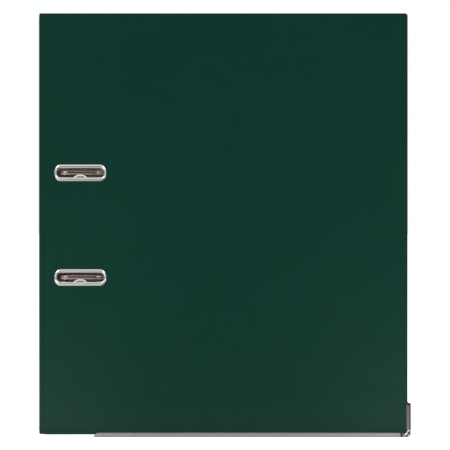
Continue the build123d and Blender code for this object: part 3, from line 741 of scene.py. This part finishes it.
class LEVERFILE_OT_covers(bpy.types.Operator):
    """Finish the boards, their film and their linings"""

    bl_idname = "leverfile.covers"
    bl_label = "Covers"

    def execute(self, context):
        finish_nodes("film", "front_wrap", "back_wrap", "spine_wrap")
        finish_nodes("paper", "front_lining", "back_lining", "spine_lining")
        finish_nodes("board", "front_board", "back_board", "spine_board")
        return {"FINISHED"}


class LEVERFILE_OT_hinges(bpy.types.Operator):
    """Build the flexible film round both long folds"""

    bl_idname = "leverfile.hinges"
    bl_label = "Fold film"

    def execute(self, context):
        depth = context.scene.file_case.groove_depth
        for name, side, bodies in (
            ("front_fold_film", -1, ("spine", "front_cover")),
            ("back_fold_film", 1, ("back_cover", "spine")),
        ):
            build_fold_film(name, side, bodies, depth)
        return {"FINISHED"}


def fold_section(side, depth, tuck):
    """Closed section (x, y) of the fold film, from the spine board to the cover board."""
    end = BACK_Y - abs(SPINE_END_Y)
    cover = COVER_X - SPINE_X

    def dip(u):
        """Depth of the pressed groove at a distance from the spine."""
        gap = abs(u - GROOVE_AT) / GROOVE_HALF
        return depth * (0.5 + 0.5 * math.cos(math.pi * gap)) if gap < 1 else 0.0

    def face_line(under, radius):
        """One face of the film, a depth under the outer one."""
        line = [(under, end), (under, (end + FOLD_ROUND) / 2)]
        line += arc((FOLD_ROUND, FOLD_ROUND), radius, 180, 270, 8)
        line += [(FOLD_ROUND + (cover - FOLD_ROUND) * i / 24, under) for i in range(1, 25)]
        return [(u, d + dip(u)) for u, d in line]

    outer = face_line(0.0, FOLD_ROUND)
    inner = face_line(FILM_THICK, FOLD_ROUND - FILM_THICK)
    section = []
    for u, d in outer + inner[::-1]:
        u_in = u + (tuck * 0.35 * MM if u < FOLD_ROUND else 0.0)
        section.append((SPINE_X + u_in, side * (BACK_Y - d - tuck * 0.25 * MM)))
    return section


def build_fold_film(name, side, bodies, depth):
    """The film of one fold, tucked in at its two ends."""
    low = LOW_Z + 0.15 * MM
    high = TOP_Z - 0.1 * MM
    tuck_reach = 3.0
    ends = (0.0, 0.12, 0.35, 0.8, 1.6, 3.0, 6.0)
    heights = [(low + e * MM, 1 - smooth_step(e / tuck_reach)) for e in ends]
    middle = [(low + (high - low) * i / 12, 0.0) for i in range(1, 12)]
    tops = [(high - e * MM, 1 - smooth_step(e / tuck_reach)) for e in reversed(ends)]
    rings = []
    for z, tuck in heights + middle + tops:
        raised = 1.1 * MM * max(0.0, 1 - (z - low) / (6 * MM))
        ring = []
        for x, y in fold_section(side, depth, tuck):
            corner = max(0.0, 1 - (x - SPINE_X) / (3.2 * MM))
            ring.append((x, y, z + raised * corner))
        rings.append(ring)
    verts, faces = skin(rings)
    film = piece(name, verts, faces, FINISH["film"], angle=50)
    if side < 0:
        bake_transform(film)
        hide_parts("front_hinge_strip")
    else:
        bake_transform(film)
        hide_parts("back_hinge_strip")


class LEVERFILE_OT_rails(bpy.types.Operator):
    """Build the rolled steel rails under the covers"""

    bl_idname = "leverfile.rails"
    bl_label = "Edge rails"

    def execute(self, context):
        for name, node, body in (
            ("front_rolled_rail", "front_edge_rail", "front_cover"),
            ("back_rolled_rail", "back_edge_rail", "back_cover"),
        ):
            build_rail(name, node, body, context.scene.file_metal)
        return {"FINISHED"}


def rail_stations(low, high, settings):
    """Places along a rail: its outer line, the inner edge of its flange and its outward direction."""
    slant = 2.4 * MM
    fine = 0.2 * MM
    down = (0, -1)
    notch = high.x - NOTCH_BACK
    first = low.x + slant
    runs = [low.x + slant / 2] + [first + (notch - first) * i / 24 for i in range(24)]
    runs += [notch - step * MM for step in (2.0, 1.2, 0.6, 0.0)]
    start = notch + settings.notch_width
    runs += [notch + 0.12 * MM, start - 0.12 * MM]
    count = round((high.x - RAIL_ROUND - start) / fine)
    runs += [start + (high.x - RAIL_ROUND - start) * i / count for i in range(count + 1)]
    stations = [((low.x, 0.0), (first, FLANGE_Z), down)]
    for x in runs:
        stations.append(((x, 0.0), (min(max(x, first), FLANGE_X - fine), FLANGE_Z), down))
    for out in arc((0, 0), 1, -90, 0, 16)[1:]:
        outer = (high.x - RAIL_ROUND + RAIL_ROUND * out[0], RAIL_ROUND + RAIL_ROUND * out[1])
        inner = (FLANGE_X - fine + fine * out[0], FLANGE_Z + fine + fine * out[1])
        stations.append((outer, inner, out))
    leg = [FLANGE_Z + fine + 0.25 * MM * i for i in range(1, 14)]
    leg += [leg[-1] + (high.z - leg[-1]) * i / 20 for i in range(1, 21)]
    for z in leg:
        drop = LEG_CUT * max(0.0, 1 - (high.z - z) / (5 * MM))
        stations.append(((high.x, z - drop), (FLANGE_X, z), (1, 0)))
    return stations


def crease(x, z, start, end, width):
    """Height from 0 to 1 of a pinched crease, at a place on the flange."""
    first, last = (Vector((FLANGE_X + a * MM, FLANGE_Z + b * MM)) for a, b in (start, end))
    run = last - first
    here = Vector((x, z)) - first
    along = max(0.0, min(1.0, here.dot(run) / run.length_squared))
    return max(0.0, 1 - (here - run * along).length / (width * MM))


def corner_pleat(x, z):
    """Relief of the pinched corner of a rail: two creases that meet, and a dent between them."""
    long_fold, cross_fold, dent = (crease(x, z, *line) for line in (LONG_FOLD, CROSS_FOLD, DENT))
    return max(long_fold, cross_fold) - 0.8 * dent


def rail_section(station, low, high, settings):
    """Points across a rail at one place, from the edge of its front flange round to its back flange."""
    outer, inner, out = station
    stop = (outer[0] - out[0] * RAIL_BEND, outer[1] - out[1] * RAIL_BEND)
    notch_half = settings.notch_width / 2
    notch_gap = abs(outer[0] - (high.x - NOTCH_BACK + notch_half))
    in_notch = notch_gap < notch_half - 0.1 * MM and outer[1] < 0.01 * MM
    sunk = 0.4 * MM if in_notch else 0.0
    roll = 0.16 + 0.24 * out[0]
    line = []
    for i in range(FLANGE_STEPS + 1):
        t = i / FLANGE_STEPS
        x = inner[0] + (stop[0] - inner[0]) * t
        z = inner[1] + (stop[1] - inner[1]) * t
        rolled = 0.30 * max(0.0, 1 - t / roll) ** 2 + 0.06 * (2 * t - 1) ** 2
        near_corner = x > FLANGE_X - 3 * MM and z < FLANGE_Z + 3 * MM
        relief = settings.pleat_depth * corner_pleat(x, z) if near_corner else 0.0
        line.append((x, (rolled + 0.05) * MM - relief + sunk, z))
    for k in range(1, 6):
        a = math.radians(18 * k)
        fade = 1 - k / 5
        reach = -RAIL_BEND + RAIL_BEND * math.sin(a)
        depth = RAIL_BEND - RAIL_BEND * math.cos(a) + 0.1 * MM * fade
        lift = 0.35 * MM * fade if in_notch else 0.0
        line.append((outer[0] + out[0] * reach, depth + lift, outer[1] + out[1] * reach))
    front = [(x, low.y + d, z) for x, d, z in line]
    back = [(x, high.y - d, z) for x, d, z in line]
    return front + back[::-1]


def rail_painted_shade(co, high, settings):
    """Painted shade on a rail: round its pinched corner, beside its notch, along its flange and up its
    leg.
    """
    gap = math.hypot(co.x - FLANGE_X, co.z - FLANGE_Z)
    hollow = smooth_step((3.4 * MM - gap) / (1.6 * MM)) * (1 - 1.4 * max(corner_pleat(co.x, co.z), 0.0))
    notch = abs(co.x - high.x + NOTCH_BACK - settings.notch_width / 2)
    beside = smooth_step((1.3 * MM - notch) / (0.6 * MM)) if co.z < 6 * MM else 0.0
    on_base = co.x < FLANGE_X - 3 * MM
    edge = smooth_step((co.z - FLANGE_Z + 0.3 * MM) / (0.3 * MM)) if on_base else 0.0
    across = max(0.0, (co.x - FLANGE_X) / (high.x - FLANGE_X))
    cut = high.z - LEG_CUT * min(across, 1.0)
    top = smooth_step((co.z - cut + 3.0 * MM) / (1.2 * MM)) if co.x > FLANGE_X - MM else 0.0
    up_leg = smooth_step((co.z - FLANGE_Z - 1.5 * MM) / (1.5 * MM))
    leg = up_leg * (0.62 + 0.28 * smooth_step((across - 0.35) / 0.3))
    return max(hollow, beside * 0.9, edge * 0.6, top, leg, 0.0)


def rail_painted_highlight(co):
    """Painted highlight along the creases of a rail's pinched corner."""
    return smooth_step(corner_pleat(co.x, co.z) * 1.6 - 0.3)


def build_rail(name, node, body, settings):
    """One rail: a rolled channel, notched and pleated round the lower free corner."""
    low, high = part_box(node)
    stations = rail_stations(low, high, settings)
    rings = [rail_section(station, low, high, settings) for station in stations]
    verts, faces = skin(rings, closed_ring=False, caps=False)
    notch = high.x - NOTCH_BACK
    across = len(rings[0])

    def cut(face):
        """Whether a face is taken out of a flange for the notch."""
        middle_x = sum(verts[i][0] for i in face) / 4
        in_notch = notch < middle_x < notch + settings.notch_width
        column = face[0] % across
        on_flange = column < FLANGE_STEPS or column >= across - 1 - FLANGE_STEPS
        return in_notch and on_flange and verts[face[0]][2] > LOW_Z + 0.05 * MM

    faces = [face for face in faces if not cut(face)]
    sharp = 32
    rail = piece(name, verts, faces, FINISH["rail"], sharp)
    thicken(rail, RAIL_SHEET)
    # Painted shade and a painted highlight, stored on the rail's vertices for its material.
    stain(rail, "painted_shade", lambda vertex: rail_painted_shade(vertex.co, high, settings))
    stain(rail, "wear_and_painted_highlight", lambda vertex: rail_painted_highlight(vertex.co))
    rail.data.shade_smooth()
    rail.data.set_sharp_from_angle(angle=math.radians(sharp))
    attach(rail, body)
    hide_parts(node)


class LEVERFILE_OT_eyelets(bpy.types.Operator):
    """Build the rolled linings of the slots and of the finger hole"""

    bl_idname = "leverfile.eyelets"
    bl_label = "Slots and finger ring"

    def execute(self, context):
        for level in ("upper", "lower"):
            build_slot_lining(level)
        build_finger_ring()
        finish_nodes("rivet", "upper_slot_washer", "lower_slot_washer", "finger_ring_washer")
        return {"FINISHED"}


def collar_section(rim, rim_sink, barrel, lip, split, taper):
    """Section of a rolled lining in millimetres: (outward, depth from the outer face)."""
    crown = (
        (0.92, 0.34), (0.76, 0.68), (0.62, 0.91), (0.5, 1.0), (0.38, 0.93), (0.24, 0.7), (0.12, 0.36),
    )
    bead = [(rim, 0.0), (rim - 0.02, -0.1)] + [(rim * a, -rim_sink * b) for a, b in crown]
    neck = [(0.05, 0.05), (0.0, 0.4), (-0.3, 1.0), (-taper, 2.2)]
    neck += [(-taper, barrel - 0.6), (-taper + 0.1, barrel - 0.2), (0.3, barrel + 0.02)]
    clinch = [(lip * split, barrel), ((lip + 0.12) * split, barrel - 0.18), (lip * split, barrel - 0.36)]
    return bead + neck + clinch + [(0.5, barrel - 0.42), (0.5, 0.0)]


def lip_split(travel, count):
    """How far the clinched lip reaches at a place along it, 1 between splits."""
    gap = abs((travel * count) % 1.0 - 0.5) * 2
    return 1.0 - 0.45 * smooth_step((gap - 0.82) / 0.14)


def collar(path, to_place, section_at):
    """Vertices and faces of a lining carried round a closed path of places and outward directions."""
    rings = []
    for index, (a, b, out_a, out_b) in enumerate(path):
        ring = []
        for outward, depth in section_at(index / len(path)):
            ring.append(to_place(a, b, out_a * outward * MM, out_b * outward * MM, depth * MM))
        rings.append(ring)
    return skin(rings, closed_run=True)


def lining_painted_shade(vertex):
    """Painted shade on the parts of a slot's rim that face down."""
    on_rim = smooth_step((FRONT_Y + 0.9 * MM - vertex.co.y) / (0.5 * MM))
    return on_rim * 0.72 * smooth_step((-vertex.normal.z - 0.05) / 0.35)


def build_slot_lining(level):
    """The lining of one slot and its snap nose."""
    node = level + "_slot_eyelet"
    low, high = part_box(node)
    end_share = SLOT_RIM_END / SLOT_RIM
    mid_x, mid_z = (low.x + high.x) / 2, (low.z + high.z) / 2
    half_x = (high.x - low.x) / 2 - SLOT_RIM_END * MM
    half_z = (high.z - low.z) / 2 - SLOT_RIM * MM
    barrel = (high.y - FRONT_Y) / MM

    def to_place(a, b, out_a, out_b, depth):
        return (mid_x + a + out_a * end_share, FRONT_Y + depth, mid_z + b + out_b)

    def section_at(travel):
        return collar_section(SLOT_RIM, 0.7, barrel, 1.15, lip_split(travel, 22), 0.6)

    path = loop_path(half_x, half_z, 2.9 * MM, LINING_FACE * MM)
    parts = [collar(path, to_place, section_at), slot_nose(mid_x, mid_z - half_z)]
    verts, faces = join_parts(parts)
    lining = piece(level + "_slot_lining", verts, faces, FINISH["eyelet"], angle=40)
    # Painted shade on the rim's down-facing slopes, stored on the lining's vertices.
    stain(lining, "painted_shade", lining_painted_shade)
    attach(lining, "front_cover")
    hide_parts(node)


def slot_nose(mid_x, floor_z):
    """The low arched nose pressed up from a slot's lower edge, slit along its foot."""
    width, height, slit = 10.6 * MM, 2.4 * MM, 6.6 * MM
    arc_r = (width ** 2 / 4 + height ** 2) / (2 * height)
    steps = 28
    rings = []
    for i in range(steps + 1):
        t = -1 + 2 * i / steps
        x = t * width / 2
        top = math.sqrt(arc_r ** 2 - x ** 2) - arc_r + height
        foot = 0.85 * MM * smooth_step((1 - abs(x) / (slit / 2)) * 3.0) - 0.25 * MM
        top = max(top, foot + 0.22 * MM)
        section = pill(0.5 * MM, top - foot, 0.1 * MM)
        ring = []
        for y, z in section:
            up = (top + foot) / 2 + z
            ring.append((mid_x + x, FRONT_Y + 0.1 * MM + y + 0.45 * up, floor_z + up))
        rings.append(ring)
    return skin(rings)


def build_finger_ring():
    """The rolled ring of the finger hole."""
    low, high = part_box("finger_ring")
    mid_y, mid_z = (low.y + high.y) / 2, (low.z + high.z) / 2
    radius = (high.z - low.z) / 2 - RING_RIM * MM
    barrel = (high.x - SPINE_X) / MM
    steps = 120
    path = []
    for i in range(steps):
        a = 2 * math.pi * i / steps
        path.append((radius * math.cos(a), radius * math.sin(a), math.cos(a), math.sin(a)))

    def to_place(a, b, out_a, out_b, depth):
        return (SPINE_X + depth, mid_y + a + out_a, mid_z + b + out_b)

    def section_at(travel):
        return collar_section(RING_RIM, 0.8, barrel, 1.35, lip_split(travel, 14), 0.4)

    verts, faces = collar(path, to_place, section_at)
    ring = piece("rolled_finger_ring", verts, faces, FINISH["eyelet"], angle=40)
    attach(ring, "spine")
    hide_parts("finger_ring")


class LEVERFILE_OT_label(bpy.types.Operator):
    """Finish the label and its clear pocket"""

    bl_idname = "leverfile.label"
    bl_label = "Spine label"

    def execute(self, context):
        finish_nodes("label", "label_card")
        build_label_pocket()
        return {"FINISHED"}


def build_label_pocket():
    """Clear film welded to the spine along three sides, open at the top with a thumb notch."""
    low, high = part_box("label_pocket")
    half = (high.y - low.y) / 2
    middle = (low.y + high.y) / 2
    height = high.z - low.z
    notch_r = 9 * MM
    corner_r = 2.0 * MM
    edge_steps = [0.0, 0.5, 0.9, 1.2, 1.5, 1.8, 2.1, 2.5, 3.0, 3.6]
    left = [-half + e * MM for e in edge_steps]
    inner = [left[-1] - left[-1] * 2 * i / 36 for i in range(1, 36)]
    columns = left + inner + [-y for y in reversed(left)]
    rows = [e * MM for e in edge_steps]
    rows += [rows[-1] + (height - rows[-1]) * i / 40 for i in range(1, 41)]

    def top_at(y):
        """Height of the open upper edge, lower in the thumb notch."""
        return height - math.sqrt(max(notch_r ** 2 - y ** 2, 0.0)) * 0.62

    def lift(y, z):
        """How far the film stands off the spine in millimetres, pressed down along its weld."""
        from_edge = min(half - abs(y), z) / MM
        weld = max(0.0, 1 - abs(from_edge - 1.5) / 0.7)
        return 0.30 + 0.18 * smooth_step((from_edge - 2.2) / 1.2) - 0.16 * smooth_step(weld)

    rings = []
    for y in columns:
        ring = []
        for z in rows:
            rise = z * top_at(y) / height
            inset = corner_r - math.sqrt(max(0.0, corner_r ** 2 - max(0.0, corner_r - rise) ** 2))
            y_in = max(-half + inset, min(half - inset, y))
            ring.append((SPINE_X - lift(y, z) * MM, middle + y_in, low.z + rise))
        rings.append(ring)
    verts, faces = skin(rings, closed_ring=False, caps=False)
    pocket = piece("welded_pocket", verts, faces, FINISH["clear"], angle=50)
    thicken(pocket, 0.12 * MM)
    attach(pocket, "spine")
    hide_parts("label_pocket")


class LEVERFILE_OT_mechanism(bpy.types.Operator):
    """Finish the ring mechanism"""

    bl_idname = "leverfile.mechanism"
    bl_label = "Ring mechanism"

    def execute(self, context):
        finish_nodes("sheet", "base_plate", "lever_bracket", "pressure_plate")
        finish_nodes("sheet", "lever_arm", "compressor_bar")
        finish_nodes("rivet", "base_rivets", "bracket_rivets", "latch_rivets")
        finish_nodes("rivet", "lever_pin", "roller_pin", "compressor_latch")
        finish_nodes("wire", "arch_wire", "lower_post", "upper_post")
        build_opening_spring()
        build_lever_grip()
        finish_nodes("roller", "pressure_roller")
        return {"FINISHED"}


def grip_outline(low, high):
    """Side outline of the grip: (height, depth), from shares of its length and of its depth."""
    outline = [(0.0, 0.20), (0.04, 0.03), (0.10, 0.0), (0.24, 0.045)]
    for step in range(5):
        start = 0.27 + 0.105 * step
        base = 0.06 + 0.032 * step
        rib = ((0.0, 0.0), (0.026, -0.05), (0.066, -0.045), (0.092, 0.012))
        outline += [(start + t, base + d) for t, d in rib]
    outline += [(0.82, 0.235), (0.90, 0.21), (0.97, 0.125), (1.0, 0.17)]
    outline += [(1.0, 0.42), (0.97, 0.62), (0.90, 0.93), (0.84, 0.99)]
    outline += [(0.6, 0.985), (0.35, 0.98), (0.18, 0.975), (0.08, 0.92), (0.0, 0.8)]
    return [(low.z + t * (high.z - low.z), low.y + d * (high.y - low.y)) for t, d in outline]


def build_lever_grip():
    """The moulded grip on the lever's end: waisted, crowned across and ribbed for the thumb."""
    low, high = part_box("lever_grip")
    middle = (low.x + high.x) / 2
    half = (high.x - low.x) / 2
    outline = grip_outline(low, high)
    centre_z = (low.z + high.z) / 2
    centre_y = (low.y + high.y) / 2
    rings = []
    side = ((-1.0, 0.80), (-0.985, 0.88), (-0.93, 0.95), (-0.84, 0.99), (-0.7, 1.0), (-0.35, 1.0))
    mirrored = tuple((-across, full) for across, full in reversed(side))
    for across, full in side + ((0.0, 1.0),) + mirrored:
        ring = []
        for z, y in outline:
            t = (z - low.z) / (high.z - low.z)
            waist = 1.0 - 0.10 * math.sin(math.pi * min(max(t, 0.0), 1.0))
            x = middle + across * half * waist
            up = centre_z + (z - centre_z) * (0.5 + full / 2)
            ring.append((x, centre_y + (y - centre_y) * full, up))
        rings.append(ring)
    verts, faces = skin(rings)
    grip = piece("moulded_grip", verts, faces, FINISH["grip"], angle=50)
    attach(grip, "lever")
    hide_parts("lever_grip")


def build_opening_spring():
    """The torsion spring round the arches' axle, wound between its two legs."""
    low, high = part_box("opening_spring")
    wire = 0.45 * MM
    radius = (high.y - low.y) / 2 - wire
    axis_x, axis_y = low.x + radius + wire, (low.y + high.y) / 2
    start_z, end_z = low.z + wire, high.z - wire
    turns, steps = 8, 20
    points = []
    for i in range(4):
        rise = (1.2 + 1.6 * smooth_step(i / 4)) * MM
        points.append((axis_x + 8 * MM - i * 2.0 * MM, axis_y + rise, start_z))
    for i in range(turns * steps + 1):
        a = 2 * math.pi * i / steps
        z = start_z + (end_z - start_z) * (i / (turns * steps))
        points.append((axis_x - radius * math.sin(a), axis_y + radius * math.cos(a), z))
    points += [(axis_x + i * 1.8 * MM, axis_y + radius, end_z) for i in range(1, 6)]
    verts, faces = skin(tube_rings(points, wire, 10))
    spring = piece("wound_spring", verts, faces, FINISH["spring"], angle=60)
    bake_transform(spring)
    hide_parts("opening_spring")


class LEVERFILE_OT_stage(bpy.types.Operator):
    """Build the floor, the light and the camera"""

    bl_idname = "leverfile.stage"
    bl_label = "Stage"

    def execute(self, context):
        settings = context.scene.file_stage
        scene = context.scene
        scene.view_settings.view_transform = "Standard"
        reach = 30
        corners = [(-reach, -reach, 0), (reach, -reach, 0), (reach, reach, 0), (-reach, reach, 0)]
        floor = piece("floor", corners, [(0, 1, 2, 3)], floor_material(settings))
        build_world(settings)
        build_camera(settings)
        build_lights(settings)
        return {"FINISHED"}


def build_world(settings):
    """Pale surroundings, white behind the object and dim in front of it."""
    world = bpy.data.worlds.new("studio")
    bpy.context.scene.world = world
    world.use_nodes = True
    tree = world.node_tree
    tree.nodes.clear()
    forward = maths(tree, "MULTIPLY", along_axes(tree, "Generated")["Y"], -1.0)
    room = remap(tree, forward, 0.6, 0.95, settings.room_bright, settings.front_dim)
    background = tree.nodes.new("ShaderNodeBackground")
    background.inputs["Color"].default_value = (1.0, 1.0, 1.0, 1.0)
    tree.links.new(camera_only(tree, 1.0, room), background.inputs["Strength"])
    output = tree.nodes.new("ShaderNodeOutputWorld")
    tree.links.new(background.outputs[0], output.inputs[0])


def build_camera(settings):
    """A long lens square on to the front cover."""
    data = bpy.data.cameras.new("camera")
    data.sensor_width = 36.0
    data.lens = data.sensor_width * settings.camera_distance / settings.frame_width
    camera = bpy.data.objects.new("camera", data)
    camera.location = (SPINE_X + AIM_RIGHT, FRONT_Y - settings.camera_distance, AIM_UP)
    camera.rotation_euler = (math.radians(90), 0, 0)
    bpy.context.scene.collection.objects.link(camera)
    bpy.context.scene.camera = camera


def build_lights(settings):
    """Large soft lights, aimed at the middle of the object."""
    for name, place_at, size, power in (
        ("key_left", (-1.3, -1.3, 1.5), 1.0, settings.key_power),
        ("key_right", (1.3, -1.3, 1.5), 1.0, settings.key_power),
        ("top", (0.0, 0.2, 2.0), 1.2, settings.key_power * 0.8),
    ):
        data = bpy.data.lights.new(name, "AREA")
        data.shape = "DISK"
        data.size = size
        data.energy = power
        lamp = bpy.data.objects.new(name, data)
        lamp.location = place_at
        aim = Vector((0, 0, MID_Z)) - Vector(place_at)
        lamp.rotation_euler = aim.to_track_quat("-Z", "Y").to_euler()
        bpy.context.scene.collection.objects.link(lamp)


class LEVERFILE_PT_panel(bpy.types.Panel):
    """Sizes, colours and builders of the lever arch file"""

    bl_label = "Lever Arch File"
    bl_idname = "LEVERFILE_PT_panel"
    bl_space_type = "VIEW_3D"
    bl_region_type = "UI"
    bl_category = "Lever Arch File"

    def draw(self, context):
        layout = self.layout
        for settings in (context.scene.file_case, context.scene.file_metal, context.scene.file_stage):
            box = layout.box()
            for name in settings.bl_rna.properties.keys():
                if name not in ("rna_type", "name"):
                    box.prop(settings, name)
        for operator in OPERATORS:
            layout.operator(operator.bl_idname)


SETTINGS = ((CaseSettings, "file_case"), (MetalSettings, "file_metal"), (StageSettings, "file_stage"))
OPERATORS = (
    LEVERFILE_OT_covers, LEVERFILE_OT_hinges, LEVERFILE_OT_rails, LEVERFILE_OT_eyelets,
    LEVERFILE_OT_label, LEVERFILE_OT_mechanism, LEVERFILE_OT_stage,
)


def register():
    """Add the settings, the operators and the panel."""
    for settings, name in SETTINGS:
        bpy.utils.register_class(settings)
        setattr(bpy.types.Scene, name, PointerProperty(type=settings))
    for operator in OPERATORS:
        bpy.utils.register_class(operator)
    bpy.utils.register_class(LEVERFILE_PT_panel)


def unregister():
    """Remove the panel, the operators and the settings."""
    bpy.utils.unregister_class(LEVERFILE_PT_panel)
    for operator in reversed(OPERATORS):
        bpy.utils.unregister_class(operator)
    for settings, name in reversed(SETTINGS):
        delattr(bpy.types.Scene, name)
        bpy.utils.unregister_class(settings)


def main():
    """Build the finishes, then every piece and the stage."""
    register()
    build_finishes()
    for operator in OPERATORS:
        group_name, call = operator.bl_idname.split(".")
        getattr(getattr(bpy.ops, group_name), call)()


if __name__ == "__main__":
    main()
